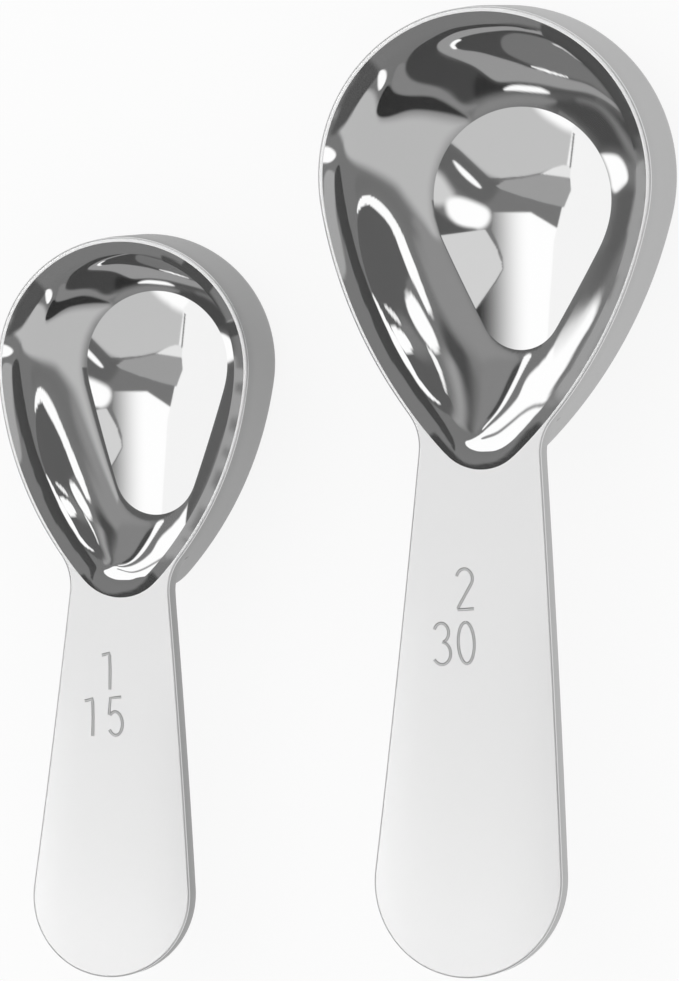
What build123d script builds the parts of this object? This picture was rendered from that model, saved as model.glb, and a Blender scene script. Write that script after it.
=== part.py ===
# Two measuring spoons, 30 ml and 15 ml, each made from one piece of thick stainless steel.
# They lie side by side on their flat bases with the bowls open upwards. Sizes are in millimetres
# and degrees. The origin is on the ground under the large bowl, at the centre of its front curve.
# +X is to the right and +Y runs from the handle to the bowl.
from build123d import *
from dataclasses import dataclass
from math import atan2, cos, degrees, radians, sin, sqrt, tan
import os

# Shared by both spoons
wall = 2.2
handle_thickness = 3.4
lip_radius = 1.7
lip_land = 0.4
edge_bevel = 0.3
base_margin = 2.5
wall_draft = 1.5
floor_crease = 12.0
base_crease = 8.0
overrun = 3.0
wall_steps = 6
corner_steps = 6
nearly_level_share = 0.9
mm3_per_ml = 1000

# The 30 ml spoon: seen from above, its rim and its inner floor are both eggs
large_length = 127.0
large_depth = 20.21
large_rim_front_radius = 22.5
large_rim_side_radius = 62.0
large_rim_back_radius = 7.0
large_rim_spacing = 31.6
large_floor_front_radius = 12.2
large_floor_side_radius = 300.0
large_floor_back_radius = 5.4
large_floor_spacing = 14.6
large_floor_setback = 3.6
large_handle_width = 25.4
large_neck_width = 15.8
large_neck_fillet = 7.0
large_handle_rise = 3.6

# The 15 ml spoon
small_length = 97.4
small_depth = 16.92
small_rim_front_radius = 17.1
small_rim_side_radius = 46.0
small_rim_back_radius = 7.0
small_rim_spacing = 23.9
small_floor_front_radius = 9.7
small_floor_side_radius = 300.0
small_floor_back_radius = 5.5
small_floor_spacing = 14.6
small_floor_setback = 0.5
small_handle_width = 21.4
small_neck_width = 12.4
small_neck_fillet = 7.0
small_handle_rise = 2.8

# How the small spoon lies beside the large one
rim_gap = 9.9
handle_end_gap = 2.2


@dataclass
class Egg:
    """An egg outline: a front circle, a smaller back circle and two long arcs tangent to both.
    The front circle's centre lies the setback behind the middle of the bowl."""

    front_radius: float
    side_radius: float
    back_radius: float
    spacing: float
    setback: float = 0

    def grown(self, margin):
        radii = (self.front_radius + margin, self.side_radius + margin, self.back_radius + margin)
        return Egg(*radii, self.spacing, self.setback)

    def blended(self, other, share):
        """The outline that lies the given share of the way to another egg."""
        side_curvature = (1 - share) / self.side_radius + share / other.side_radius
        return Egg(
            self.front_radius + (other.front_radius - self.front_radius) * share,
            1 / side_curvature,
            self.back_radius + (other.back_radius - self.back_radius) * share,
            self.spacing + (other.spacing - self.spacing) * share,
            self.setback + (other.setback - self.setback) * share,
        )

    def face(self, plane):
        front_reach = self.side_radius - self.front_radius
        back_reach = self.side_radius - self.back_radius
        drop = (front_reach**2 - back_reach**2 + self.spacing**2) / (2 * self.spacing)
        inset = sqrt(front_reach**2 - drop**2)
        front_angle = degrees(atan2(drop, inset))
        back_angle = degrees(atan2(drop - self.spacing, inset))
        side_turn = front_angle - back_angle
        front_centre = (0, -self.setback)
        back_centre = (0, -self.setback - self.spacing)
        left_centre = (inset, -self.setback - drop)
        right_centre = (-inset, -self.setback - drop)
        with BuildSketch(plane) as outline:
            with BuildLine():
                CenterArc(front_centre, self.front_radius, front_angle, 180 - 2 * front_angle)
                CenterArc(left_centre, self.side_radius, 180 - front_angle, side_turn)
                CenterArc(back_centre, self.back_radius, 180 - back_angle, 180 + 2 * back_angle)
                CenterArc(right_centre, self.side_radius, back_angle, side_turn)
            make_face()
        return outline.sketch


def wall_levels(depth, side_inset, crease):
    """Depths down a bowl's wall, each with the share of the inset reached there. The wall runs
    straight at its draft, then turns in a round corner that meets the floor at the crease."""
    draft = radians(wall_draft)
    last_turn = radians(90 - crease)
    fall = sin(last_turn) - sin(draft)
    reach = cos(draft) - cos(last_turn)
    corner_radius = (side_inset - depth * tan(draft)) / (reach - fall * tan(draft))
    straight = depth - corner_radius * fall
    levels = []
    for step in range(wall_steps):
        down = straight * step / wall_steps
        levels.append((down, down * tan(draft) / side_inset))
    for step in range(corner_steps + 1):
        turn = draft + (last_turn - draft) * step / corner_steps
        down = straight + corner_radius * (sin(turn) - sin(draft))
        inwards = straight * tan(draft) + corner_radius * (cos(draft) - cos(turn))
        levels.append((down, inwards / side_inset))
    return levels


def bowl_sections(top_plane, depth, crease, rim, floor):
    """Eggs from the rim at the top plane down to the floor, for a smooth loft."""
    side_inset = rim.front_radius - floor.front_radius
    sections = []
    for down, share in wall_levels(depth, side_inset, crease):
        sections.append(rim.blended(floor, share).face(top_plane.offset(-down)))
    return sections


def make_spoon(name, middle, length, depth, rim, floor, handle_width, neck_width, neck_fillet, rise):
    """One spoon with its base on the ground and the centre of its front curve over the middle."""
    ground = Plane(middle)
    rim_height = depth + wall
    wall_height = rim_height - handle_thickness
    handle_end = rim.front_radius - length
    neck_end = -rim.spacing - rim.back_radius
    end_radius = handle_width / 2
    rim_plane = ground.offset(rim_height)
    under_plane = ground.offset(wall_height)

    # The outline of the flat blank: the rim's egg, and a handle that widens to its round end
    with BuildSketch() as blank:
        with Locations((0, handle_end + end_radius)):
            Circle(end_radius)
        with Locations((0, -rim.spacing)):
            Circle(neck_width / 2)
        make_hull()
        add(rim.face(Plane.XY))
        corners = blank.vertices().filter_by_position(Axis.Y, neck_end, -rim.spacing / 2)
        fillet(corners, radius=neck_fillet)

    # The inside of the bowl: upright just below the mouth, then drafted
    mouth = rim.grown(-wall)
    upright = lip_radius + lip_land
    draft_plane = rim_plane.offset(-upright)
    with BuildPart() as cavity:
        with BuildSketch(draft_plane):
            add(mouth.face(Plane.XY))
        extrude(amount=upright)
        loft(sections=bowl_sections(draft_plane, depth - upright, floor_crease, mouth, floor))
    print(f"{name} holds {cavity.part.volume / mm3_per_ml:.2f} ml when full to the brim")

    with BuildPart() as spoon:
        # The blank, level at the bowl and arched gently upwards along the handle
        with BuildSketch(Plane(middle, x_dir=(0, 1, 0), z_dir=(1, 0, 0))):
            with BuildLine():
                level = Line((rim.front_radius + overrun, rim_height), (neck_end, rim_height))
                TangentArc(level @ 1, (handle_end, rim_height + rise), tangent=(-1, 0))
                offset(amount=handle_thickness, side=Side.LEFT)
            make_face()
        extrude(amount=rim.front_radius + overrun, both=True)
        with BuildSketch(ground):
            add(blank.sketch_local)
        extrude(amount=rim_height + rise + overrun, mode=Mode.INTERSECT)
        under_faces = spoon.faces().filter_by(lambda face: face.normal_at().Z < -nearly_level_share)
        under_edges = under_faces.edges()
        chamfer(under_edges.filter_by(Axis.X, reverse=True), length=edge_bevel)

        # The outside of the bowl, and its rim left square where it joins the bowl
        with BuildSketch(under_plane):
            add(rim.face(Plane.XY))
        extrude(amount=handle_thickness)
        base = floor.grown(base_margin)
        loft(sections=bowl_sections(under_plane, wall_height, base_crease, rim, base))
        top_faces = spoon.faces().filter_by(lambda face: face.normal_at().Z > nearly_level_share)
        top_edges = top_faces.edges()
        chamfer(top_edges.filter_by(Axis.X, reverse=True), length=edge_bevel)

        # The inside cut out, and the rounded lip around the mouth
        add(cavity.part, mode=Mode.SUBTRACT)
        rim_face = spoon.faces().filter_by(Axis.Z).sort_by(Axis.Z)[-1]
        fillet(rim_face.inner_wires()[0].edges(), radius=lip_radius)

    spoon.part.label = name
    return spoon


large_rim = Egg(large_rim_front_radius, large_rim_side_radius, large_rim_back_radius, large_rim_spacing)
large_floor = Egg(
    large_floor_front_radius,
    large_floor_side_radius,
    large_floor_back_radius,
    large_floor_spacing,
    large_floor_setback,
)
spoon_30ml = make_spoon(
    "spoon_30ml",
    (0, 0, 0),
    large_length,
    large_depth,
    large_rim,
    large_floor,
    large_handle_width,
    large_neck_width,
    large_neck_fillet,
    large_handle_rise,
)

small_rim = Egg(small_rim_front_radius, small_rim_side_radius, small_rim_back_radius, small_rim_spacing)
small_floor = Egg(
    small_floor_front_radius,
    small_floor_side_radius,
    small_floor_back_radius,
    small_floor_spacing,
    small_floor_setback,
)
small_x = -large_rim_front_radius - rim_gap - small_rim_front_radius
small_y = large_rim_front_radius - large_length - handle_end_gap + small_length - small_rim_front_radius
spoon_15ml = make_spoon(
    "spoon_15ml",
    (small_x, small_y, 0),
    small_length,
    small_depth,
    small_rim,
    small_floor,
    small_handle_width,
    small_neck_width,
    small_neck_fillet,
    small_handle_rise,
)

os.makedirs("parts", exist_ok=True)
export_step(spoon_30ml.part, "parts/spoon_30ml.step")
export_step(spoon_15ml.part, "parts/spoon_15ml.step")
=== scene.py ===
import math
import bmesh
import bpy
import numpy as np
from mathutils import Matrix, Vector
from mathutils.bvhtree import BVHTree
from mathutils.geometry import barycentric_transform


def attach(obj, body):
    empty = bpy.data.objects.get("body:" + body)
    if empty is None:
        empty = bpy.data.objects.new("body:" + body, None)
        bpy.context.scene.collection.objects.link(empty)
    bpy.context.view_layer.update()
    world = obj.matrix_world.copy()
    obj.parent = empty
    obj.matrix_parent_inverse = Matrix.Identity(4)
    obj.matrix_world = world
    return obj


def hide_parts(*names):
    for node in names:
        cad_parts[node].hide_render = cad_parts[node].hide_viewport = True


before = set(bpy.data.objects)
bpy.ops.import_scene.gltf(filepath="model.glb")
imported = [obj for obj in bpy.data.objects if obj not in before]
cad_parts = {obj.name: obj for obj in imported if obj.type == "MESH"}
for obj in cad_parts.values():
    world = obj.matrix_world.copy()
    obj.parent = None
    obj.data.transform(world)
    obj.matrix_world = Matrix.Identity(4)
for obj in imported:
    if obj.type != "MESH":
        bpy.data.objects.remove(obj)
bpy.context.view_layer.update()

print("frame loaded")

mm = 0.001

# Pressed stainless steel, shared by both spoons
sheet = {
    "wall": 2.2,
    "handle": 3.4,
    "lipRadius": 1.7,
    "lipLand": 0.4,
    "topEdge": 0.3,
    "underEdge": 0.3,
    "baseMargin": 2.5,
    "wallDraft": 1.5,
    "floorCrease": 12.0,
    "baseCrease": 8.0,
    "dishSag": 0.35,
    "bulgeLength": 24.0,
    "lowTilt": 12.0,
    "topTilt": 34.0,
    "rimTilt": 37.0,
    "sideLean": 0.2,
}


def grown(egg, margin):
    return {**egg, **{key: egg[key] + margin for key in ("front", "side", "back")}}


def blended(rim, floor, share):
    steady = ("front", "back", "spacing", "setback")
    mix = {key: rim[key] + (floor[key] - rim[key]) * share for key in steady}
    mix["side"] = 1 / ((1 - share) / rim["side"] + share / floor["side"])
    return mix


# The centres of an egg's side arcs, and the angles where its arcs meet
def eggFrame(egg):
    frontReach = egg["side"] - egg["front"]
    backReach = egg["side"] - egg["back"]
    drop = (frontReach**2 - backReach**2 + egg["spacing"] ** 2) / (2 * egg["spacing"])
    inset = math.sqrt(frontReach**2 - drop**2)
    return drop, inset, math.atan2(drop, inset), math.atan2(drop - egg["spacing"], inset)


# Points and outward directions at the given shares of the front, left, back and right arcs
def eggPoints(egg, arcs, shares):
    drop, inset, frontAngle, backAngle = eggFrame(egg)
    starts = np.array([frontAngle, math.pi - frontAngle, math.pi - backAngle, backAngle])
    sideSweep = frontAngle - backAngle
    sweeps = np.array([math.pi - 2 * frontAngle, sideSweep, math.pi + 2 * backAngle, sideSweep])
    radii = np.array([egg["front"], egg["side"], egg["back"], egg["side"]])
    centreX = np.array([0, inset, 0, -inset])
    centreY = np.array([0, -drop, -egg["spacing"], -drop]) - egg["setback"]
    turn = starts[arcs] + sweeps[arcs] * shares
    outward = np.stack([np.cos(turn), np.sin(turn)], axis=1)
    centres = np.stack([centreX[arcs], centreY[arcs]], axis=1)
    return centres + radii[arcs][:, None] * outward, outward


# Samples round the bowl, anticlockwise from the right neck corner. Those of the neck come last.
def ringSamples(neckShare, counts):
    parts = [
        (3, neckShare, 1, counts["side"]),
        (0, 0, 1, counts["front"]),
        (1, 0, 1 - neckShare, counts["side"]),
        (1, 1 - neckShare, 1, counts["lowSide"]),
        (2, 0, 1, counts["back"]),
        (3, 0, neckShare, counts["lowSide"]),
    ]
    arcs = np.concatenate([np.full(number, arc) for arc, first, last, number in parts])
    shares = [np.linspace(first, last, number, endpoint=False) for arc, first, last, number in parts]
    return arcs, np.concatenate(shares)


# Where the neck fillet touches the rim's side arc and the handle's straight side
def neckGeometry(spoon):
    rim = spoon["rim"]
    drop, inset, frontAngle, backAngle = eggFrame(rim)
    neckRadius, endRadius = spoon["neckWidth"] / 2, spoon["handleWidth"] / 2
    neckY, endY = -rim["spacing"], rim["front"] - spoon["length"] + endRadius
    lean = math.asin((endRadius - neckRadius) / (neckY - endY))
    across = np.array([math.cos(lean), math.sin(lean)])
    sideCentre = np.array([-inset, -drop])
    reach = rim["side"] + spoon["neckFillet"]
    gap = across @ np.array([0, neckY]) + neckRadius + spoon["neckFillet"] - across @ sideCentre
    corner = lean - math.acos(gap / reach)
    centre = sideCentre + reach * np.array([math.cos(corner), math.sin(corner)])
    return lean, across, corner, centre, (corner - backAngle) / (frontAngle - backAngle), endY


# The handle's right side from the neck corner to the tip, with its outward directions
def handleSide(spoon, rows):
    lean, across, corner, centre, neckShare, endY = neckGeometry(spoon)
    fillet, endRadius = spoon["neckFillet"], spoon["handleWidth"] / 2
    turn = np.linspace(corner + math.pi, lean + math.pi, rows["fillet"])
    inwards = np.stack([np.cos(turn), np.sin(turn)], axis=1)
    start = centre - fillet * across
    end = np.array([0, endY]) + endRadius * across
    share = rows["straight"][:, None]
    turn = np.linspace(lean, -math.pi / 2, rows["end"])
    outwards = np.stack([np.cos(turn), np.sin(turn)], axis=1)
    points = [centre + fillet * inwards, start + (end - start) * share, endRadius * outwards + (0, endY)]
    return np.concatenate(points), np.concatenate([-inwards, np.tile(across, (len(share), 1)), outwards])


# How far the handle has arched upwards at y
def rise(spoon, y):
    rim = spoon["rim"]
    neckEnd = -rim["spacing"] - rim["back"]
    length = neckEnd - (rim["front"] - spoon["length"])
    radius = (length**2 + spoon["handleRise"] ** 2) / (2 * spoon["handleRise"])
    along = np.clip(neckEnd - y, 0, None)
    return radius - np.sqrt(radius**2 - along**2)


# Depths down a wall and the share of the inset reached there: straight, then a round corner
def wallLevels(depth, sideInset, crease, wallSteps, cornerSteps):
    draft = math.radians(sheet["wallDraft"])
    last = math.radians(90 - crease)
    fall = math.sin(last) - math.sin(draft)
    reach = math.cos(draft) - math.cos(last)
    cornerRadius = (sideInset - depth * math.tan(draft)) / (reach - fall * math.tan(draft))
    straight = depth - cornerRadius * fall
    wallDown = straight * np.linspace(0, 1, wallSteps, endpoint=False)
    turn = np.linspace(draft, last, cornerSteps + 1)
    cornerDown = straight + cornerRadius * (np.sin(turn) - math.sin(draft))
    cornerIn = straight * math.tan(draft) + cornerRadius * (math.cos(draft) - np.cos(turn))
    down = np.concatenate([wallDown, cornerDown])
    return down, np.concatenate([wallDown * math.tan(draft), cornerIn]) / sideInset


# How finely each stretch of a spoon is divided
counts = {"front": 96, "side": 52, "lowSide": 22, "back": 60}
handleRows = {"fillet": 22, "straight": np.linspace(0.01, 0.99, 150), "end": 40}
softening = {"passes": 24}
levelCounts = {"floor": 20, "wall": 14, "corner": 26, "lip": 8, "edge": 4, "baseWall": 6, "baseCorner": 18}
baseShares = (0.66, 0.33, 0)
weldDistance = 0.002
# The finishes, in the order of a spoon's materials
mirrorFinish, satinFinish, coarseFinish, engravedFinish = range(4)
cushion = {"sides": 0.06, "end": 0.06, "power": 3, "fadeIn": 3}
engraving = {"halfWidth": 0.2, "lift": 0.01, "tilt": 42.0, "slope": 0.07, "spacing": 0.62, "steps": 25}


class Patches:
    def __init__(self):
        self.points = []
        self.faces = []
        self.finishes = []
        self.normals = []
        self.count = 0

    # A grid of points, one row per layer, joined row to row. Normals of zero are left to Blender.
    def add(self, layers, wraps, finish, normals=None):
        grid = np.array(layers)
        rows, columns = grid.shape[:2]
        index = self.count + np.arange(rows * columns).reshape(rows, columns)
        if wraps:
            index = np.concatenate([index, index[:, :1]], axis=1)
        quads = np.stack([index[:-1, :-1], index[:-1, 1:], index[1:, 1:], index[1:, :-1]], axis=-1)
        leant = np.zeros((rows * columns, 3)) if normals is None else np.array(normals).reshape(-1, 3)
        self.normals.append(leant[quads.reshape(-1) - self.count])
        self.points.append(grid.reshape(-1, 3))
        self.faces.append(quads.reshape(-1, 4))
        self.finishes.append(np.full(len(self.faces[-1]), finish))
        self.count += rows * columns


def withHeight(flat, height):
    return np.column_stack([flat, np.broadcast_to(height, len(flat))])


# Part of an ellipse, from one angle to another in degrees
def bow(middle, radii, first, last):
    turn = np.radians(np.linspace(first, last, engraving["steps"]))
    return np.array(middle) + np.column_stack([radii[0] * np.cos(turn), radii[1] * np.sin(turn)])


# Each digit as one stroke, in a box one high
digits = {
    "0": bow((0.2, 0.5), (0.2, 0.5), 90, 450),
    "1": np.array([(0, 0.93), (0.1, 0.95), (0.21, 0.98), (0.22, 0.9), (0.21, 0.5), (0.18, 0)]),
    "2": np.vstack([bow((0.22, 0.76), (0.2, 0.24), 165, -30), [(0.02, 0.04), (0.02, 0), (0.43, 0.01)]]),
    "3": np.vstack([bow((0.21, 0.77), (0.18, 0.23), 160, -75), bow((0.2, 0.27), (0.22, 0.27), 80, -150)]),
    "5": np.vstack([[(0.38, 1), (0.08, 0.98), (0.03, 0.55)], bow((0.19, 0.31), (0.19, 0.31), 130, -150)]),
}


# A stroke's rows of left edge, middle and right edge, with the normals of a round groove
def grooveRows(stroke):
    ahead = np.gradient(stroke, axis=0)
    ahead /= np.linalg.norm(ahead, axis=1)[:, None]
    toRight = np.column_stack([ahead[:, 1], -ahead[:, 0]])
    rows = np.stack([stroke + toRight * engraving["halfWidth"] * side for side in (-1, 0, 1)], axis=1)
    tilt = math.radians(engraving["tilt"])
    edges = [withHeight(-toRight * math.sin(tilt) * side, math.cos(tilt)) for side in (-1, 1)]
    level = np.tile((0.0, 0.0, 1.0), (len(stroke), 1))
    return rows, np.stack([edges[0], level, edges[1]], axis=1)


def spoonMesh(spoon):
    rim, floor = spoon["rim"], spoon["floor"]
    wall, thick, lip, topEdge = sheet["wall"], sheet["handle"], sheet["lipRadius"], sheet["topEdge"]
    rimZ = spoon["depth"] + wall
    neckShare = neckGeometry(spoon)[4]
    arcs, shares = ringSamples(neckShare, counts)
    outerCount = 2 * counts["side"] + counts["front"]
    mouth = grown(rim, -wall)
    patches = Patches()

    # The egg's arcs meet with sudden changes of curve, which a mirror shows. Its rings are softened.
    def softened(egg):
        ring = eggPoints(egg, arcs, shares)[0]
        for turn in range(softening["passes"]):
            ring = (np.roll(ring, 1, axis=0) + 2 * ring + np.roll(ring, -1, axis=0)) / 4
        return ring

    # The normals inside are those of an evenly curved bowl, so the steep walls mirror the room
    def tilted(ring, degrees):
        ahead = np.roll(ring, -1, axis=0) - np.roll(ring, 1, axis=0)
        outwards = np.column_stack([ahead[:, 1], -ahead[:, 0]]) / np.linalg.norm(ahead, axis=1)[:, None]
        climbed = (degrees - sheet["lowTilt"]) / (sheet["topTilt"] - sheet["lowTilt"])
        turn = np.radians(degrees * (1 - sheet["sideLean"] * climbed * outwards[:, :1]))
        return np.column_stack([-outwards * np.sin(turn), np.cos(turn)])

    # Inside: a shallow dished floor up to its crease
    floorRing = softened(floor)
    pole = np.array([0, -floor["setback"] - floor["spacing"] / 2])
    rings, normals = [], []
    for step in range(levelCounts["floor"] + 1):
        share = step / levelCounts["floor"]
        ring = pole + (floorRing - pole) * share
        rings.append(withHeight(ring, wall - sheet["dishSag"] * (1 - share**2)))
        normals.append(withHeight((spoon["dishCentre"] - ring) / spoon["dishRadii"], 1))
    patches.add(rings, True, mirrorFinish, normals)

    # Inside: round corner, drafted wall, upright edge, rounded lip
    upright = lip + sheet["lipLand"]
    sideInset = mouth["front"] - floor["front"]
    insideLevels = (spoon["depth"] - upright, sideInset, sheet["floorCrease"])
    down, inward = wallLevels(*insideLevels, levelCounts["wall"], levelCounts["corner"])
    lengths = np.cumsum(np.hypot(np.diff(down), np.diff(inward) * sideInset))
    climb = 1 - np.append(0, lengths) / lengths[-1]
    rings, normals = [], []
    for fallen, share, climbed in zip(down[::-1], inward[::-1], climb[::-1]):
        ring = softened(blended(mouth, floor, share))
        rings.append(withHeight(ring, rimZ - upright - fallen))
        normals.append(tilted(ring, sheet["lowTilt"] + (sheet["topTilt"] - sheet["lowTilt"]) * climbed))
    for step in range(levelCounts["lip"] + 1):
        climbed = step / levelCounts["lip"]
        turn = math.pi / 2 * climbed
        ring = softened(grown(mouth, lip * (1 - math.cos(turn))))
        rings.append(withHeight(ring, rimZ - lip * (1 - math.sin(turn))))
        normals.append(tilted(ring, sheet["topTilt"] + (sheet["rimTilt"] - sheet["topTilt"]) * climbed))
    patches.add(rings, True, mirrorFinish, normals)
    topRing = withHeight(eggPoints(grown(rim, -topEdge), arcs, shares)[0], rimZ)
    patches.add([rings[-1], topRing], True, satinFinish)

    # Top and underside of the handle: rows from the neck's curve to the round tip
    side, outward = handleSide(spoon, handleRows)
    mirror = np.array([-1, 1])
    along = np.concatenate([[0], np.cumsum(np.linalg.norm(np.diff(side, axis=0), axis=1))])
    fade = np.clip(1 - along / sheet["bulgeLength"], 0, 1)
    fade = fade**2 * (3 - 2 * fade)
    neck = np.append(np.arange(outerCount, len(arcs)), 0)
    across = np.linspace(0, 1, len(neck))[:, None]

    def handlePatch(ring, inset, dropped):
        points = side - inset[:, None] * outward
        bulge = ring - (ring[0] + (ring[-1] - ring[0]) * across)
        rows = []
        for point, share in zip(points, fade):
            row = point * mirror + (point - point * mirror) * across + bulge * share
            rows.append(withHeight(row, rimZ + rise(spoon, row[:, 1]) - dropped))
        return np.array(rows)

    # The top is cushioned a little towards its sides, and its end turns up, in its shading only
    topRows = handlePatch(topRing[neck, :2], np.full(len(side), topEdge), 0)
    fromNeck = np.clip(-rim["spacing"] - rim["back"] - topRows[..., 1], 1, None)
    travelled = fromNeck / fromNeck.max()
    slope = 2 * rise(spoon, topRows[..., 1]) / fromNeck + cushion["end"] * travelled ** cushion["power"]
    sideways = topRows[..., 0] / topRows[..., 0].max() * np.clip(cushion["fadeIn"] * travelled, 0, 1)
    sideSlope = cushion["sides"] * sideways ** cushion["power"]
    patches.add(topRows, False, satinFinish, np.stack([sideSlope, slope, np.ones_like(slope)], axis=2))
    underInset = sheet["underEdge"] * np.clip(along / spoon["neckFillet"], 0, 1)
    rimRing, rimOutward = eggPoints(rim, arcs, shares)
    patches.add(handlePatch(rimRing[neck], underInset, thick), False, satinFinish)

    # The edge all round: the bowl's outer part, then down the left side and up the right side
    path = np.concatenate([rimRing[:outerCount], side * mirror, side[::-1][1:]])
    pathOutward = np.concatenate([rimOutward[:outerCount], outward * mirror, outward[::-1][1:]])
    under = np.concatenate([np.zeros(outerCount), underInset, underInset[::-1][1:]])[:, None]
    layers = []
    for step in range(levelCounts["edge"] + 1):
        turn = math.pi / 2 * step / levelCounts["edge"]
        flat = path - topEdge * (1 - math.sin(turn)) * pathOutward
        layers.append(withHeight(flat, rimZ + rise(spoon, flat[:, 1]) - topEdge * (1 - math.cos(turn))))
    for step in range(levelCounts["edge"] + 1):
        turn = math.pi / 2 * step / levelCounts["edge"]
        flat = path - under * (1 - math.cos(turn)) * pathOutward
        raised = under[:, 0] * (1 - math.sin(turn)) - thick
        layers.append(withHeight(flat, rimZ + rise(spoon, flat[:, 1]) + raised))
    patches.add(layers[: levelCounts["edge"] + 1], True, satinFinish)
    patches.add(layers[levelCounts["edge"] :], True, coarseFinish)

    # The capacity in plain numbers: ribbons just above the handle's top, shaded like grooves
    for figures, corner, size in spoon["marks"]:
        for place, figure in enumerate(figures):
            written = digits[figure] * size + (place * size * engraving["spacing"], 0)
            stroke = written + engraving["slope"] * written[:, ::-1] * (-1, 1) + corner
            rows, normals = grooveRows(stroke)
            heights = rimZ + rise(spoon, rows[..., 1:]) + engraving["lift"]
            patches.add(np.concatenate([rows, heights], axis=2), False, engravedFinish, normals)

    # Outside of the bowl down to the flat base
    base = grown(floor, sheet["baseMargin"])
    height = rimZ - thick
    baseLevels = (height, rim["front"] - base["front"], sheet["baseCrease"])
    down, inward = wallLevels(*baseLevels, levelCounts["baseWall"], levelCounts["baseCorner"])
    rings = []
    for fallen, share in zip(down, inward):
        rings.append(withHeight(eggPoints(blended(rim, base, share), arcs, shares)[0], height - fallen))
    baseRing = rings[-1][:, :2]
    for share in baseShares:
        rings.append(withHeight(pole + (baseRing - pole) * share, 0))
    patches.add(rings, True, coarseFinish)

    points = np.concatenate(patches.points)
    points[:, :2] += spoon["middle"]
    mesh = bpy.data.meshes.new(spoon["name"])
    mesh.from_pydata((points * mm).tolist(), [], np.concatenate(patches.faces).tolist())
    mesh.polygons.foreach_set("material_index", np.concatenate(patches.finishes).astype(np.int32))
    wanted = mesh.attributes.new("wanted_normal", "FLOAT_VECTOR", "CORNER")
    wanted.data.foreach_set("vector", np.concatenate(patches.normals).ravel())
    work = bmesh.new()
    work.from_mesh(mesh)
    bmesh.ops.remove_doubles(work, verts=work.verts, dist=weldDistance * mm)
    shell = [face for face in work.faces if face.material_index != engravedFinish]
    bmesh.ops.recalc_face_normals(work, faces=shell)
    for face in work.faces:
        face.smooth = True
    work.to_mesh(mesh)
    work.free()
    normals = np.empty(len(mesh.loops) * 3)
    wanted = mesh.attributes["wanted_normal"]
    wanted.data.foreach_get("vector", normals)
    mesh.attributes.remove(wanted)
    mesh.normals_split_custom_set(normals.reshape(-1, 3).tolist())
    print(spoon["name"], len(mesh.polygons), "faces")
    return mesh


def linear(code):
    channels = [int(code[place : place + 2], 16) / 255 for place in (1, 3, 5)]
    return tuple(c / 12.92 if c <= 0.04045 else ((c + 0.055) / 1.055) ** 2.4 for c in channels) + (1,)


def newMaterial(name, colour, metallic, roughness):
    material = bpy.data.materials.new(name)
    material.use_nodes = True
    shader = material.node_tree.nodes["Principled BSDF"]
    shader.inputs["Base Color"].default_value = linear(colour)
    shader.inputs["Metallic"].default_value = metallic
    shader.inputs["Roughness"].default_value = roughness
    return material


# Inside of the bowls: steel polished to a mirror
mirrorSteel = newMaterial("mirror_polished_steel", "#e8e8e8", 0.96, 0.015)
# The handle's top and the rim: steel with a fine satin finish
satinSteel = newMaterial("satin_steel", "#e6e6e6", 0.8, 0.34)
# The engraved numbers: the same steel, its colour darkened as painted shade in their grooves
engravedSteelPaintedShade = newMaterial("engraved_steel_painted_shade", "#c4c4c4", 0.8, 0.3)

largeSpoon = {
    "name": "large_spoon_body",
    "node": "spoon_30ml",
    "body": "large_spoon",
    # Colour of the outside, darkened as painted shade
    "outside": "#b6b6b6",
    "middle": (0, 0),
    "length": 127.0,
    "depth": 20.21,
    "rim": {"front": 22.5, "side": 62.0, "back": 7.0, "spacing": 31.6, "setback": 0.0},
    "floor": {"front": 12.2, "side": 300.0, "back": 5.4, "spacing": 14.6, "setback": 3.6},
    "handleWidth": 25.4,
    "neckWidth": 15.8,
    "neckFillet": 7.0,
    "handleRise": 3.6,
    "dishCentre": (0.0, -10.9),
    "dishRadii": (170.0, 170.0),
    "marks": [("2", (-2.6, -56.5), 5.3), ("30", (-5.5, -63.8), 5.4)],
}
smallSpoon = {
    "name": "small_spoon_body",
    "node": "spoon_15ml",
    "body": "small_spoon",
    # Colour of the outside, darkened further than the large spoon's as painted shade
    "outside": "#9a9a9a",
    "middle": (-49.5, -26.4),
    "length": 97.4,
    "depth": 16.92,
    "rim": {"front": 17.1, "side": 46.0, "back": 7.0, "spacing": 23.9, "setback": 0.0},
    "floor": {"front": 9.7, "side": 300.0, "back": 5.5, "spacing": 14.6, "setback": 0.5},
    "handleWidth": 21.4,
    "neckWidth": 12.4,
    "neckFillet": 7.0,
    "handleRise": 2.8,
    "dishCentre": (-0.4, -8.6),
    "dishRadii": (152.0, 168.0),
    "marks": [("1", (-1.9, -42.6), 4.9), ("15", (-4.1, -48.8), 5.0)],
}
for spoon in (largeSpoon, smallSpoon):
    mesh = spoonMesh(spoon)
    mesh.materials.append(mirrorSteel)
    mesh.materials.append(satinSteel)
    # Sides and outside of the bowl: coarser satin steel, which the photograph shows darker. Its colour is
    # darkened as painted shade, more so on the small spoon.
    mesh.materials.append(newMaterial("coarse_satin_steel_painted_shade", spoon["outside"], 0.8, 0.42))
    mesh.materials.append(engravedSteelPaintedShade)
    piece = bpy.data.objects.new(spoon["name"], mesh)
    bpy.context.scene.collection.objects.link(piece)
    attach(piece, spoon["body"])
    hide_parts(spoon["node"])
print("spoons built")


# Adds a node to a tree, with its settings and its inputs: a number, or another node's output
def addNode(tree, kind, settings=None, inputs=None):
    node = tree.nodes.new(kind)
    for name, value in (settings or {}).items():
        setattr(node, name, value)
    for name, value in (inputs or {}).items():
        if isinstance(value, bpy.types.NodeSocket):
            tree.links.new(value, node.inputs[name])
        else:
            node.inputs[name].default_value = value
    return node


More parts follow.
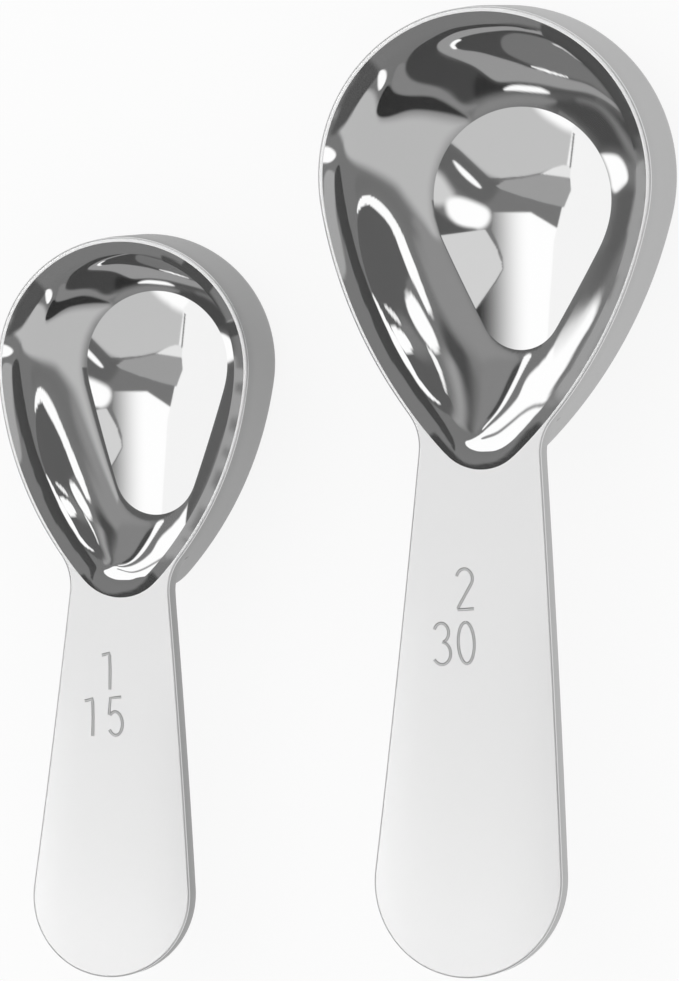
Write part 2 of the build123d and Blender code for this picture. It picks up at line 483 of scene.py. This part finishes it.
# Camera: almost from above, leaning a little to the right
cameraView = {
    "target": (-22.0, -41.5, 22.0),
    "leanX": 15.0,
    "leanY": -4.0,
    "roll": 0.9,
    "distance": 2500.0,
    "pixelsPerMm": 7.64,
    "shift": (-22.5, -0.5),
    "picture": (679, 981),
    "sensor": 36.0,
    "clip": (0.1, 10.0),
}
leanX, leanY = math.radians(cameraView["leanX"]), math.radians(cameraView["leanY"])
towards = np.array([math.sin(leanX), -math.sin(leanY), 0])
towards[2] = math.sqrt(1 - towards @ towards)
right = np.cross((0, 1, 0), towards)
right /= np.linalg.norm(right)
up = np.cross(towards, right)
roll = math.radians(cameraView["roll"])
rolledRight = right * math.cos(roll) + up * math.sin(roll)
rolledUp = up * math.cos(roll) - right * math.sin(roll)
shift = np.array(cameraView["shift"]) / cameraView["pixelsPerMm"]
target = np.array(cameraView["target"]) - rolledRight * shift[0] + rolledUp * shift[1]
place = (target + towards * cameraView["distance"]) * mm
camera = bpy.data.objects.new("camera", bpy.data.cameras.new("camera"))
bpy.context.scene.collection.objects.link(camera)
axes = np.column_stack([rolledRight, rolledUp, towards, place])
camera.matrix_world = Matrix(axes.tolist() + [[0, 0, 0, 1]])
focalPixels = cameraView["pixelsPerMm"] * cameraView["distance"]
camera.data.sensor_width = cameraView["sensor"]
camera.data.lens = focalPixels * cameraView["sensor"] / cameraView["picture"][1]
camera.data.clip_start, camera.data.clip_end = cameraView["clip"]
bpy.context.scene.camera = camera
bpy.context.scene.view_settings.view_transform = "Standard"
print("camera ready")

# Plain pale floor. The camera, and the metal that mirrors it, see it nearly white, with its shadows.
floorPlane = {"size": 3, "colour": "#ebebeb", "roughness": 0.9, "whiteShare": 0.88}
bpy.ops.mesh.primitive_plane_add(size=floorPlane["size"])
ground = bpy.context.object
ground.name = "floor"
pale = newMaterial("pale_floor", floorPlane["colour"], 0, floorPlane["roughness"])
tree = pale.node_tree
path = addNode(tree, "ShaderNodeLightPath").outputs
added = {"operation": "ADD", "use_clamp": True}
seen = addNode(tree, "ShaderNodeMath", added, {0: path["Is Camera Ray"], 1: path["Is Glossy Ray"]})
seen = addNode(tree, "ShaderNodeMath", added, {0: seen.outputs[0], 1: path["Is Transmission Ray"]})
scaled = {0: seen.outputs[0], 1: floorPlane["whiteShare"]}
share = addNode(tree, "ShaderNodeMath", {"operation": "MULTIPLY"}, scaled)
glow = addNode(tree, "ShaderNodeEmission", None, {"Color": (1, 1, 1, 1), "Strength": 1.0})
shaders = {0: share.outputs[0], 1: tree.nodes["Principled BSDF"].outputs[0], 2: glow.outputs[0]}
mixed = addNode(tree, "ShaderNodeMixShader", None, shaders)
tree.links.new(mixed.outputs[0], tree.nodes["Material Output"].inputs["Surface"])
ground.data.materials.append(pale)

# The studio that the metal mirrors: a dome with white, grey and dark cards. Places on it are shares
# of the sky, x / (1 + z) and y / (1 + z) of a direction: straight up is (0, 0), the horizon is 1 away.
dome = {
    "radius": 8.0,
    "centre": (-0.13, -0.035),
    "level": 0.2,
    "horizonLevel": 0.45,
    "horizonStart": 0.8,
    "horizonSoft": 0.1,
    "cardWhite": 1.25,
    "turns": 640,
    "fineStep": 0.001,
    "fineEnd": 0.12,
    "middleStep": 0.003,
    "middleEnd": 0.55,
    "outerRows": 60,
}
ring = {"inner": 0.115, "outer": 0.2, "soft": 0.02, "level": 2.5, "lean": 0.4}

# Thin dark lines in the wall along the floor's edge: first and last degree round the dome's centre,
# inner and outer share, grey
floorEdges = [(5, 125, 0.2, 0.215, 84), (125, 245, 0.2, 0.212, 110)]
floorEdgeLine = {"points": 14, "soft": 0.003}

# Each card is drawn as its mirror image in the large bowl shows in the picture, in pixels, with its
# grey there and the width of its soft edge, which is 1 where none is given. It shows in the wall, or
# on the floor where it says so. A crisp card keeps its corners. A ramp goes from one pixel and its
# grey to another. Later cards lie in front of earlier ones.
cards = {
    "left light": {"grey": 182, "soft": 10, "outline": [
        (336, 120), (350, 100), (362, 84), (372, 90), (373, 116), (385, 115), (410, 107), (440, 111),
        (468, 114), (452, 124), (438, 143), (428, 165), (425, 200), (428, 228), (433, 243), (424, 240),
        (414, 225), (394, 192), (384, 180), (357, 165), (345, 160), (336, 150)
    ]},
    "left middle": {"grey": 135, "soft": 12, "outline": [
        (425, 243), (433, 245), (460, 283), (472, 308), (480, 330), (495, 348), (515, 354), (520, 362),
        (480, 372), (462, 350), (448, 325), (432, 300), (418, 275), (405, 248), (398, 225), (405, 215)
    ]},
    "hook shade": {"grey": 105, "soft": 12, "outline": [
        (345, 172), (358, 172), (372, 182), (384, 192), (394, 206), (402, 222), (410, 242), (400, 240),
        (392, 225), (384, 210), (374, 198), (364, 190), (352, 190), (344, 200)
    ]},
    "hook": {"grey": 255, "outline": [
        (344, 214), (345, 206), (348, 198), (353, 194), (360, 194), (367, 198), (375, 206), (383, 218),
        (390, 232), (402, 260), (425, 306), (430, 318), (424, 317), (416, 303), (400, 277), (393, 262),
        (382, 235), (377, 224), (370, 215), (357, 203), (352, 204), (347, 209)
    ]},
    "tongue": {"grey": 84, "outline": [
        (344, 220), (347, 210), (352, 205), (357, 203), (363, 208), (370, 215), (377, 224), (382, 235),
        (393, 262), (400, 277), (399, 286), (396, 298), (398, 310), (405, 325), (424, 352), (430, 362),
        (436, 374), (443, 402), (450, 418), (450, 425), (444, 426), (435, 420), (425, 410), (414, 396),
        (394, 360), (384, 344), (366, 310), (351, 274), (346, 252), (344, 235)
    ]},
    "tongue lower light": {"grey": 118, "soft": 10, "outline": [
        (392, 318), (404, 328), (418, 345), (428, 360), (420, 364), (408, 360), (400, 350), (392, 335)
    ]},
    "blob": {"grey": 255, "soft": 3, "outline": [
        (397, 300), (401, 295), (408, 300), (424, 322), (435, 345), (436, 355), (431, 357), (424, 350),
        (408, 327), (401, 315)
    ]},
    "long streak": {"grey": 255, "outline": [
        (361, 298), (366, 306), (381, 331), (398, 356), (412, 383), (429, 406), (439, 416), (430, 411),
        (419, 400), (408, 386), (399, 371), (379, 342), (371, 328), (365, 314)
    ]},
    "short streak": {"grey": 255, "outline": [
        (382, 330), (390, 333), (398, 338), (405, 347), (408, 354), (404, 361), (399, 358), (386, 338)
    ]},
    "thin streak": {"grey": 240, "outline": [
        (373, 309), (380, 313), (388, 319), (395, 329), (391, 329), (377, 315)
    ]},
    "inner streak": {"grey": 250, "outline": [
        (422, 350), (427, 354), (433, 364), (438, 376), (443, 405), (440, 400), (437, 385), (427, 360)
    ]},
    "lower light streak": {"grey": 150, "soft": 7, "outline": [
        (440, 358), (448, 362), (455, 380), (461, 400), (465, 420), (463, 436), (455, 436), (448, 428),
        (452, 420), (451, 405), (446, 385)
    ]},
    "lower dark streak": {"grey": 66, "soft": 9, "outline": [
        (436, 320), (446, 330), (468, 368), (475, 390), (474, 415), (470, 440), (464, 436), (466, 420),
        (463, 400), (457, 380), (440, 342)
    ]},
    "bottom middle": {"grey": 125, "soft": 7, "outline": [
        (476, 362), (521, 360), (509, 380), (499, 404), (477, 438), (472, 440), (475, 418), (477, 392),
        (472, 372)
    ]},
    "bottom dark": {"grey": 60, "soft": 2, "outline": [
        (523, 360), (515, 368), (509, 380), (498, 406), (491, 417), (484, 427), (494, 420), (503, 407),
        (518, 376)
    ]},
    "bottom white 1": {"grey": 255, "outline": [
        (525, 353), (533, 350), (528, 362), (517, 388), (510, 402), (500, 417), (480, 438), (482, 433),
        (492, 423), (502, 408), (516, 380), (521, 365)
    ]},
    "bottom white 2": {"grey": 255, "soft": 2, "outline": [
        (588, 281), (590, 290), (586, 308), (570, 345), (552, 378), (548, 395), (534, 427), (524, 442),
        (512, 453), (498, 460), (482, 460), (466, 456), (462, 450), (470, 447), (480, 440), (505, 419),
        (516, 407), (520, 400), (525, 385), (533, 370), (565, 322), (572, 305), (580, 295)
    ]},
    "bottom line": {"grey": 130, "outline": [
        (480, 444), (495, 440), (510, 430), (525, 419), (540, 405), (551, 391), (552, 393), (541, 408),
        (526, 422), (511, 433), (496, 443), (480, 447)
    ]},
    "right dark": {"grey": 62, "soft": 8, "outline": [
        (548, 92), (565, 90), (580, 90), (595, 93), (608, 98), (620, 108), (628, 120), (633, 138),
        (633, 156), (627, 166), (620, 158), (612, 154), (600, 154), (592, 158), (585, 148), (577, 134),
        (568, 122), (548, 104)
    ]},
    "right dark light": {"grey": 118, "soft": 4, "outline": [
        (578, 94), (588, 95), (600, 100), (609, 107), (623, 132), (630, 150), (631, 172), (626, 165),
        (614, 130), (607, 116), (600, 107), (590, 101), (580, 98)
    ]},
    "right white": {"grey": 255, "soft": 4, "outline": [
        (592, 160), (600, 157), (612, 157), (617, 162), (621, 172), (621, 183), (616, 190), (611, 195),
        (608, 188), (605, 178), (599, 168)
    ]},
    "right low dark": {"grey": 84, "soft": 9, "outline": [
        (620, 186), (625, 192), (625, 203), (621, 217), (614, 232), (596, 264), (581, 294), (575, 296),
        (577, 280), (584, 262), (592, 248), (601, 237), (608, 223), (611, 208), (611, 197)
    ]},
    "top blob": {"grey": 60, "soft": 6, "outline": [
        (403, 62), (410, 52), (421, 43), (450, 27), (482, 16.5), (500, 13), (520, 11.5), (540, 13.5),
        (560, 19), (576, 27), (590, 38), (602, 50), (600, 54), (574, 33), (560, 25), (545, 20),
        (530, 18), (500, 20), (470, 27), (445, 38), (437, 45), (440, 52), (450, 56), (463, 59),
        (476, 64), (492, 77), (500, 80), (520, 78), (560, 82), (585, 87), (600, 95), (590, 92),
        (565, 88), (520, 88), (500, 90), (476, 97), (464, 100), (456, 97), (450, 90), (443, 85),
        (418, 80), (408, 76), (402, 69)
    ]},
    "top blob darker": {"grey": 34, "soft": 8, "outline": [
        (476, 72), (484, 74), (494, 80), (510, 80), (502, 88), (488, 92), (474, 95), (472, 84)
    ]},
    "top grey hook": {"grey": 126, "soft": 4, "outline": [
        (404, 60), (396, 61), (390, 68), (386, 78), (388, 86), (396, 90), (426, 91), (438, 94),
        (448, 99), (456, 105), (463, 107), (504, 95), (520, 93), (545, 93), (560, 97), (552, 103),
        (515, 104), (478, 112), (468, 113), (478, 100), (466, 101), (456, 98), (442, 86), (431, 82),
        (417, 80), (407, 76), (402, 69)
    ]},
    "top left dark": {"grey": 38, "soft": 3, "outline": [
        (373, 100), (371, 110), (375, 114), (384, 113), (402, 105), (415, 103), (445, 107), (458, 110),
        (466, 112), (456, 105), (438, 95), (426, 91), (396, 90), (388, 87), (384, 79), (380, 83)
    ]},
    "tick": {"grey": 255, "outline": [
        (374, 65), (380, 64), (382, 68), (380, 78), (375, 87), (373, 84), (373, 70)
    ]},
    "top grey loop": {"grey": 146, "outline": [
        (575, 26), (545, 16), (530, 14), (515, 14), (500, 16), (480, 21), (460, 28), (447, 35),
        (438, 41), (436, 46), (440, 51), (462, 59), (475, 64), (492, 77), (500, 79), (520, 77),
        (545, 78), (585, 85), (600, 90), (612, 98), (622, 108), (632, 124), (631, 112), (620, 99),
        (608, 87), (595, 77), (580, 70.5), (532, 60), (518, 56), (490, 50), (475, 48), (462, 48),
        (455, 46), (452, 43), (456, 38), (465, 33), (480, 27), (500, 21), (515, 18), (530, 17),
        (545, 18.5), (560, 23), (575, 30)
    ]},
    "top dark loop": {"grey": 66, "outline": [
        (452, 43), (456, 38), (465, 33), (480, 27), (500, 21), (515, 18.5), (530, 17.5), (545, 18.5),
        (560, 22.5), (575, 29), (590, 41), (601, 53), (611, 67), (619, 82), (626, 98), (632, 115),
        (620, 99), (608, 87), (595, 77), (580, 70.5), (532, 60), (518, 56), (490, 50), (475, 48),
        (462, 48), (455, 46)
    ]},
    "top egg": {"grey": 110, "soft": 2, "outline": [
        (500, 35), (501, 29), (506, 24.5), (515, 21), (530, 20), (545, 22), (560, 26), (574, 33),
        (587, 44), (597, 55), (606, 68), (619, 93), (624, 102), (618, 96), (600, 79), (590, 73),
        (575, 68), (545, 60.5), (515, 50.5), (505, 45.5), (501, 40)
    ]},
    "top line 1": {"grey": 215, "outline": [
        (555, 26.5), (565, 29.5), (575, 34.5), (585, 41.5), (593, 49), (591, 50), (573, 36.5),
        (564, 31.5), (556, 28.5)
    ]},
    "top line 2": {"grey": 255, "outline": [
        (531, 56), (574, 66.5), (572, 68), (544, 62.5), (532, 58.5)
    ]},
    "loop tip": {"grey": 255, "outline": [
        (449, 44), (452, 40), (459, 36.5), (461, 38), (456, 41), (454, 44), (457, 47.5), (452, 47.5)
    ]},
    "top lens": {"grey": 255, "soft": 2, "outline": [
        (501, 88), (508, 83), (518, 81), (540, 82), (547, 85), (553, 88.5), (545, 89.5), (515, 88)
    ]},
    "dish upper": {"on": "floor", "grey": 190, "crisp": True, "outline": [
        (440, 120), (430, 140), (448, 141), (460, 150), (489, 178), (505, 178), (525, 176), (540, 173),
        (552, 168), (562, 165), (569, 166), (573, 135), (580, 118), (560, 95), (500, 90), (460, 95)
    ]},
    "dish highlight": {"on": "floor", "grey": 255, "soft": 10, "outline": [
        (530, 100), (560, 100), (590, 128), (590, 140), (572, 133), (560, 128), (538, 113)
    ]},
    "dish band": {"on": "floor", "grey": 92, "soft": 8, "outline": [
        (448, 141), (436, 140), (425, 150), (422, 163), (436, 165), (445, 172), (452, 184), (460, 192),
        (470, 199), (480, 203), (489, 203), (500, 188), (500, 180), (489, 177), (478, 168), (455, 147)
    ]},
    "dish left light": {"on": "floor", "grey": 205, "soft": 10, "outline": [
        (418, 170), (432, 168), (442, 174), (450, 186), (456, 196), (448, 204), (436, 206), (420, 196)
    ]},
    "dish streak": {"on": "floor", "grey": 255, "soft": 2, "outline": [
        (452, 159), (458, 163), (476, 180), (483, 189), (476, 187), (460, 173)
    ]},
    "dish blob": {"on": "floor", "grey": 255, "soft": 7, "outline": [
        (446, 200), (455, 196), (465, 198), (478, 203), (488, 208), (491, 216), (487, 225), (480, 229),
        (465, 228), (455, 223), (447, 213)
    ]},
    "dish wedge": {"on": "floor", "grey": 78, "soft": 6, "outline": [
        (415, 195), (428, 202), (450, 220), (460, 226), (480, 229), (465, 232), (432, 237), (415, 240)
    ]},
    "dish ramp": {"on": "floor", "soft": 2, "crisp": True, "ramp": ((476, 309, 28), (530, 309, 255)),
     "outline": [
        (474, 312), (496, 281), (503, 268), (502, 256), (497, 242), (491, 229), (493, 212), (530, 212),
        (560, 230), (545, 365), (515, 372), (480, 360), (465, 330)
    ]},
    "dish right": {"on": "floor", "grey": 244, "crisp": True, "outline": [
        (566, 165), (572, 128), (590, 110), (640, 130), (640, 250), (600, 360), (546, 360), (549, 300),
        (553, 240), (561, 207), (570, 190), (569, 178)
    ]},
    "dish pane": {"on": "floor", "grey": 208, "crisp": True, "outline": [
        (432, 236), (485, 229), (496, 247), (501, 260), (502, 268), (495, 280), (475, 309), (455, 315),
        (430, 275), (415, 240)
    ]},
    "dish quad": {"on": "floor", "grey": 152, "crisp": True, "outline": [
        (496, 186), (505, 180), (522, 178), (540, 174.5), (568, 178), (570, 190), (563, 207), (545, 203),
        (520, 196), (500, 189)
    ]},
    "dish triangle": {"on": "floor", "grey": 228, "crisp": True, "outline": [
        (540, 174), (552, 168), (562, 165), (570, 166), (569, 178)
    ]},
    "dish line": {"on": "floor", "grey": 90, "soft": 0.5, "crisp": True, "outline": [
        (572.5, 134), (574, 134), (570, 168), (568.5, 168)
    ]},
    "rim left light": {"grey": 160, "soft": 3, "outline": [
        (323, 168), (320, 200), (321, 225), (326, 258), (333, 284), (338, 280), (331, 250), (326, 220),
        (325, 195), (328, 170)
    ]},
    "rim tick": {"grey": 255, "outline": [
        (327, 146), (330, 148), (330, 154), (326, 162), (322, 163), (323, 154)
    ]},
    "rim right": {"grey": 150, "soft": 3, "outline": [
        (629, 165), (634, 165), (632, 187), (628, 210), (622, 234), (615, 257), (588, 325), (578, 345),
        (557, 384), (553, 386), (562, 366), (574, 346), (592, 300), (620, 212), (625, 190)
    ]},
    "top right dark": {"grey": 62, "soft": 2, "outline": [
        (540, 9), (560, 15), (580, 26), (596, 40), (609, 57), (620, 79), (628, 101), (633, 124),
        (634, 142), (629, 136), (624, 112), (616, 90), (605, 70), (592, 52), (577, 38), (560, 27),
        (545, 20)
    ]},
    "rim dark upper left": {"grey": 72, "soft": 6, "outline": [
        (373, 61), (360, 78), (347, 99), (331, 136), (334, 134), (347, 110), (370, 76), (375, 66)
    ]},
    "rim dark left": {"grey": 58, "soft": 2, "outline": [
        (330, 158), (326, 175), (325, 200), (328, 228), (334, 254), (343, 283), (370, 338), (388, 367),
        (434, 438), (447, 452), (455, 459), (450, 450), (395, 364), (378, 334), (350, 279), (341, 250),
        (335, 222), (332, 195), (331, 172)
    ]},
    "neck edge dark": {"grey": 50, "outline": [
        (424, 446), (438, 459), (452, 466), (476, 473), (487, 474), (498, 472), (509, 467), (520, 458),
        (530, 448), (537, 438), (543, 424), (541, 418), (535, 430), (527, 442), (517, 453), (507, 461),
        (497, 466), (487, 468), (476, 467), (464, 464), (452, 458), (440, 450), (430, 440)
    ]},
}

# The large bowl in the picture, in pixels: the edge of its floor, of its wall and of its lip
bowlPicture = {
    "middle": (520, 215),
    "floor": [
        (425, 200), (427, 170), (431, 160), (436, 148), (443, 138), (450, 127), (459, 119), (470, 114),
        (490, 110), (545, 108), (555, 112), (582, 140), (590, 153), (600, 165), (606, 178), (607, 222),
        (602, 232), (597, 238), (592, 245), (585, 257), (578, 270), (573, 282), (569, 297), (566, 310),
        (560, 322), (550, 333), (528, 348), (515, 351), (503, 348), (490, 340), (480, 328), (475, 317),
        (472, 305), (468, 295), (460, 281), (450, 267), (440, 252), (428, 228)
    ],
    "rim": [
        (376, 62), (362, 83), (350, 104), (333, 145), (329, 220), (335, 250), (356, 305), (371, 335),
        (389, 365), (406, 392), (421, 415), (436, 437), (452, 452), (470, 460), (487, 464), (505, 459),
        (522, 447), (533, 432), (541, 413), (548, 396), (557, 378), (567, 358), (578, 337), (586, 316),
        (594, 290), (600, 270), (608, 250), (615, 232), (621, 212), (625, 192), (629, 158), (629, 138),
        (586, 40), (549, 19), (530, 14), (490, 14), (450, 26), (410, 44), (392, 54)
    ],
    "edge": [
        (375, 60), (358, 80), (337, 120), (323, 160), (321, 180), (321, 220), (344, 300), (366, 340),
        (378, 360), (390.5, 380), (402, 400), (412, 420), (421, 440), (438, 455.7), (486.8, 472),
        (508.5, 464.4), (530, 444.8), (541, 423), (548, 402), (557, 384), (567, 365), (578, 345),
        (588, 325), (598, 300), (607, 278), (615, 257), (622, 234), (628, 210), (632, 187), (634, 162),
        (634, 138), (631, 113), (604, 50), (589, 33), (571, 20), (550, 11), (510, 5), (490, 6),
        (430, 27), (410, 36), (392, 48)
    ],
}


def smoothed(share):
    share = np.clip(share, 0, 1)
    return share * share * (3 - 2 * share)


# An outline with its corners cut twice, so that it curves
def rounded(outline):
    for turn in range(2):
        following = np.roll(outline, -1, axis=0)
        outline = np.stack([3 * outline + following, outline + 3 * following], axis=1).reshape(-1, 2) / 4
    return outline


# Distance to the nearest edge, counted positive inside. A spot is inside if a line from it
# to the right crosses the outline an odd number of times.
def depthInside(spots, outline):
    nearest = np.full(len(spots), np.inf)
    inside = np.zeros(len(spots), bool)
    for start, end in zip(outline, np.roll(outline, -1, axis=0)):
        edge, offset = end - start, spots - start
        share = np.clip(offset @ edge / max(edge @ edge, 1e-12), 0, 1)
        nearest = np.minimum(nearest, np.linalg.norm(offset - share[:, None] * edge, axis=1))
        crosses = (start[1] > spots[:, 1]) != (end[1] > spots[:, 1])
        slope = edge[0] / edge[1] if edge[1] else 0
        inside ^= crosses & (offset[:, 0] < slope * offset[:, 1])
    return np.where(inside, nearest, -nearest)


# The ray from the camera through a pixel, and the share of the sky that a normal sends it to
def rayThrough(pixel):
    across, down = (np.array(pixel) - np.array(cameraView["picture"]) / 2) / focalPixels
    ray = rolledRight * across - rolledUp * down - towards
    return ray / np.linalg.norm(ray)


def skyShare(ray, normal):
    normal = np.array(normal) / np.linalg.norm(normal)
    mirrored = ray - 2 * (ray @ normal) * normal
    return mirrored[:2] / (1 + mirrored[2])


largeMesh = bpy.data.objects["large_spoon_body"].data
largeMesh.calc_loop_triangles()
triangles = largeMesh.loop_triangles
places = [vertex.co for vertex in largeMesh.vertices]
surface = BVHTree.FromPolygons(places, [list(triangle.vertices) for triangle in triangles])


# The height in mm and the mirrored share where a pixel shows the inside of the large bowl
def insideAt(pixel):
    ray = rayThrough(pixel)
    spot, index = surface.ray_cast(Vector(place), Vector(ray))[::2]
    if spot is None or triangles[index].material_index != mirrorFinish:
        return None
    corners = [places[vertex] for vertex in triangles[index].vertices]
    normals = [largeMesh.corner_normals[corner].vector for corner in triangles[index].loops]
    return spot.z / mm, skyShare(ray, barycentric_transform(spot, *corners, *normals))


# How far the floor, the wall and the lip reach from the middle at each bearing: in the picture by
# its outlines, and in the model by looking at it pixel by pixel
middle = np.array(bowlPicture["middle"])
search = {"step": 2, "nearest": 60, "farthest": 300, "passes": 3, "back": 0.5}
bearings = np.radians(np.arange(0, 360, search["step"]))


def pictureReach(outline):
    across, down = (np.array(outline) - middle).T
    return np.interp(bearings, np.arctan2(down, across), np.hypot(across, down), period=2 * math.pi)


def modelReach():
    lipZ = largeSpoon["depth"] + sheet["wall"] - sheet["lipRadius"] - sheet["lipLand"]
    reach = np.zeros((3, len(bearings)))
    for index, bearing in enumerate(bearings):
        for radius in range(search["nearest"], search["farthest"]):
            found = insideAt(middle + radius * np.array([math.cos(bearing), math.sin(bearing)]))
            if found is None:
                break
            reach[2, index] = radius + 1
            if found[0] < lipZ:
                reach[1, index] = radius + 1
            if found[0] <= sheet["wall"]:
                reach[0, index] = radius + 1
    for turn in range(search["passes"]):
        reach = (np.roll(reach, -1, axis=1) + 2 * reach + np.roll(reach, 1, axis=1)) / 4
    return reach


pictured = [pictureReach(bowlPicture[edge]) for edge in ("floor", "rim", "edge")]
modelled = modelReach()
# Past this share of the lip's width, a place is pushed on, away from the dome's centre
lipPush = {"start": 0.93, "push": 0.09}


def reachesAt(bearing, edges):
    return [np.interp(bearing, bearings, reach, period=2 * math.pi) for reach in edges]


# The share of the sky whose mirror image lies at a pixel of the picture. Pixels of the wall are
# stretched between the model's edges as they lie between the picture's. Those of the floor use the
# floor's own dish, also past its edge.
def shareAt(pixel, on):
    if on == "floor":
        ray = rayThrough(pixel)
        spot = (place + ray * (place[2] - sheet["wall"] * mm) / -ray[2])[:2] / mm
        sloped = (np.array(largeSpoon["dishCentre"]) - spot) / largeSpoon["dishRadii"]
        return skyShare(ray, np.append(sloped, 1))
    offset = np.array(pixel) - middle
    bearing, radius = math.atan2(offset[1], offset[0]), math.hypot(*offset)
    floorEdge, rimEdge, lipEdge = reachesAt(bearing, pictured)
    floorReach, rimReach, lipReach = reachesAt(bearing, modelled)
    if radius > rimEdge:
        share = min((radius - rimEdge) / max(lipEdge - rimEdge, 1), 1)
        radius = rimReach + share * (lipReach - rimReach)
        push = 1 + lipPush["push"] * (share > lipPush["start"])
    else:
        share = np.clip((radius - floorEdge) / (rimEdge - floorEdge), 0, 1)
        radius = floorReach + share * (rimReach - floorReach)
        push = 1
    found = None
    while found is None:
        found = insideAt(middle + radius * offset / np.linalg.norm(offset))
        radius -= search["back"]
    return dome["centre"] + (found[1] - dome["centre"]) * push


def roundLength(outline):
    return np.linalg.norm(outline - np.roll(outline, 1, axis=0), axis=1).sum()


# The cards with their outlines and soft edges in shares of the sky
placed = []
for card in cards.values():
    outline = np.array(card["outline"], float)
    drawn = outline if "crisp" in card else rounded(outline)
    shares = np.array([shareAt(pixel, card.get("on", "wall")) for pixel in drawn])
    edge = card.get("soft", 1) * roundLength(shares) / roundLength(drawn)
    placed.append({**card, "shares": shares, "edge": edge})
for first, last, inner, outer, grey in floorEdges:
    turn = np.radians(np.linspace(first, last, floorEdgeLine["points"]))
    arc = np.column_stack([np.cos(turn), np.sin(turn)])
    shares = dome["centre"] + np.concatenate([arc * outer, arc[::-1] * inner])
    placed.append({"shares": shares, "edge": floorEdgeLine["soft"], "grey": grey})


def level(grey):
    return dome["cardWhite"] * linear("#" + 3 * f"{grey:02x}")[0]


# How strongly each share of the sky glows: the room, the bright ring, then the cards in their order
def studioLevels(spots):
    low = smoothed((np.linalg.norm(spots, axis=1) - dome["horizonStart"]) / dome["horizonSoft"])
    levels = dome["level"] + (dome["horizonLevel"] - dome["level"]) * low
    away = np.linalg.norm(spots - dome["centre"], axis=1)
    band = smoothed((away - ring["inner"]) / ring["soft"]) * smoothed((ring["outer"] - away) / ring["soft"])
    sideways = (spots[:, 0] - dome["centre"][0]) / np.maximum(away, 0.001)
    levels += (ring["level"] * (1 - ring["lean"] * sideways) - levels) * band
    for card in placed:
        outline, edge = card["shares"], card["edge"]
        near = np.all((spots > outline.min(axis=0) - edge) & (spots < outline.max(axis=0) + edge), axis=1)
        cover = smoothed(0.5 + depthInside(spots[near], outline) / edge)
        if "ramp" in card:
            (x, y, darkest), (endX, endY, lightest) = card["ramp"]
            first, last = shareAt((x, y), "floor"), shareAt((endX, endY), "floor")
            along = (spots[near] - first) @ (last - first) / ((last - first) @ (last - first))
            value = level(darkest) + (level(lightest) - level(darkest)) * smoothed(along)
        else:
            value = level(card["grey"])
        levels[near] += (value - levels[near]) * cover
    return levels


turn = np.linspace(0, 2 * math.pi, dome["turns"], endpoint=False)
compass = np.column_stack([np.cos(turn), np.sin(turn)])
centre = np.array(dome["centre"])
toCentre = compass @ centre
reach = np.sqrt(toCentre**2 + 1 - centre @ centre) - toCentre
fineRows = np.arange(0, dome["fineEnd"], dome["fineStep"])
middleRows = np.arange(dome["fineEnd"], dome["middleEnd"], dome["middleStep"])
rows = np.concatenate([fineRows, middleRows, np.linspace(dome["middleEnd"], 1, dome["outerRows"])])
spots = np.concatenate([centre + compass * share * reach[:, None] for share in rows])
away = (spots**2).sum(axis=1)
directions = np.column_stack([2 * spots, 1 - away]) / (1 + away)[:, None]
patch = Patches()
patch.add(directions.reshape(-1, dome["turns"], 3) * dome["radius"], True, mirrorFinish)
mesh = bpy.data.meshes.new("studio_dome")
mesh.from_pydata(patch.points[0].tolist(), [], patch.faces[0].tolist())
mesh.attributes.new("glow", "FLOAT", "POINT").data.foreach_set("value", studioLevels(spots))
studio = bpy.data.objects.new("studio_dome", mesh)
bpy.context.scene.collection.objects.link(studio)
studio.visible_camera = studio.visible_diffuse = studio.visible_shadow = studio.visible_transmission = False
glowing = bpy.data.materials.new("studio_cards")
glowing.use_nodes = True
glowing.cycles.emission_sampling = "NONE"
tree = glowing.node_tree
glow = addNode(tree, "ShaderNodeAttribute", {"attribute_name": "glow"}).outputs["Fac"]
glow = addNode(tree, "ShaderNodeEmission", None, {"Color": (1, 1, 1, 1), "Strength": glow})
tree.links.new(glow.outputs[0], tree.nodes["Material Output"].inputs["Surface"])
mesh.materials.append(glowing)
print("studio built")

# Even light for the floor, and a soft lamp for its shadows
evenLight = {"colour": "#ffffff", "strength": 0.8}
softLamp = {"place": (-0.5, 0.6, 1.4), "size": 1.6, "watts": 8}
world = bpy.data.worlds.new("studio_light")
bpy.context.scene.world = world
world.use_nodes = True
background = world.node_tree.nodes["Background"]
background.inputs["Color"].default_value = linear(evenLight["colour"])
background.inputs["Strength"].default_value = evenLight["strength"]
lamp = bpy.data.objects.new("soft_lamp", bpy.data.lights.new("soft_lamp", "AREA"))
lamp.data.size = softLamp["size"]
lamp.data.energy = softLamp["watts"]
lamp.location = softLamp["place"]
lamp.rotation_euler = lamp.location.to_track_quat("Z", "Y").to_euler()
lamp.visible_glossy = False
bpy.context.scene.collection.objects.link(lamp)
print("light ready")
